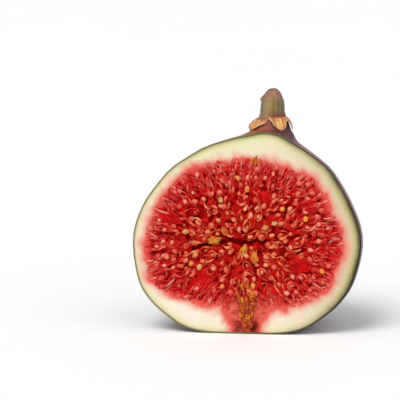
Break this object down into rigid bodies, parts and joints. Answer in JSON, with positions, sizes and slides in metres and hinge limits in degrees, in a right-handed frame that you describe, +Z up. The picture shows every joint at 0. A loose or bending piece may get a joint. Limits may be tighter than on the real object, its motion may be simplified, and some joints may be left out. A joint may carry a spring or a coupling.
{
  "type": "halved fresh fig",
  "caption": "Half of a ripe purple fig, cut lengthways to show its red, seedy pulp, with neck, stem and papery scales; leans back on its base.",
  "frame": {"origin": "middle of the flat that the half rests on", "axes": "+Z up; -Y the side the cut face looks to, which leans back 8 degrees from upright; +X to the right of someone facing the cut"},
  "size_m": [0.0568, 0.0317, 0.0582],
  "materials": {
    "fruit": "moist red pulp and pale rind under a satin purple skin",
    "stem": "matte, finely ridged green wood",
    "bract": "dry and papery"
  },
  "bodies": {
    "root": {"fruit_half": "fruit", "stem": "stem", "bract_left": "bract", "bract_front": "bract", "bract_right": "bract"}
  },
  "joints": []
}
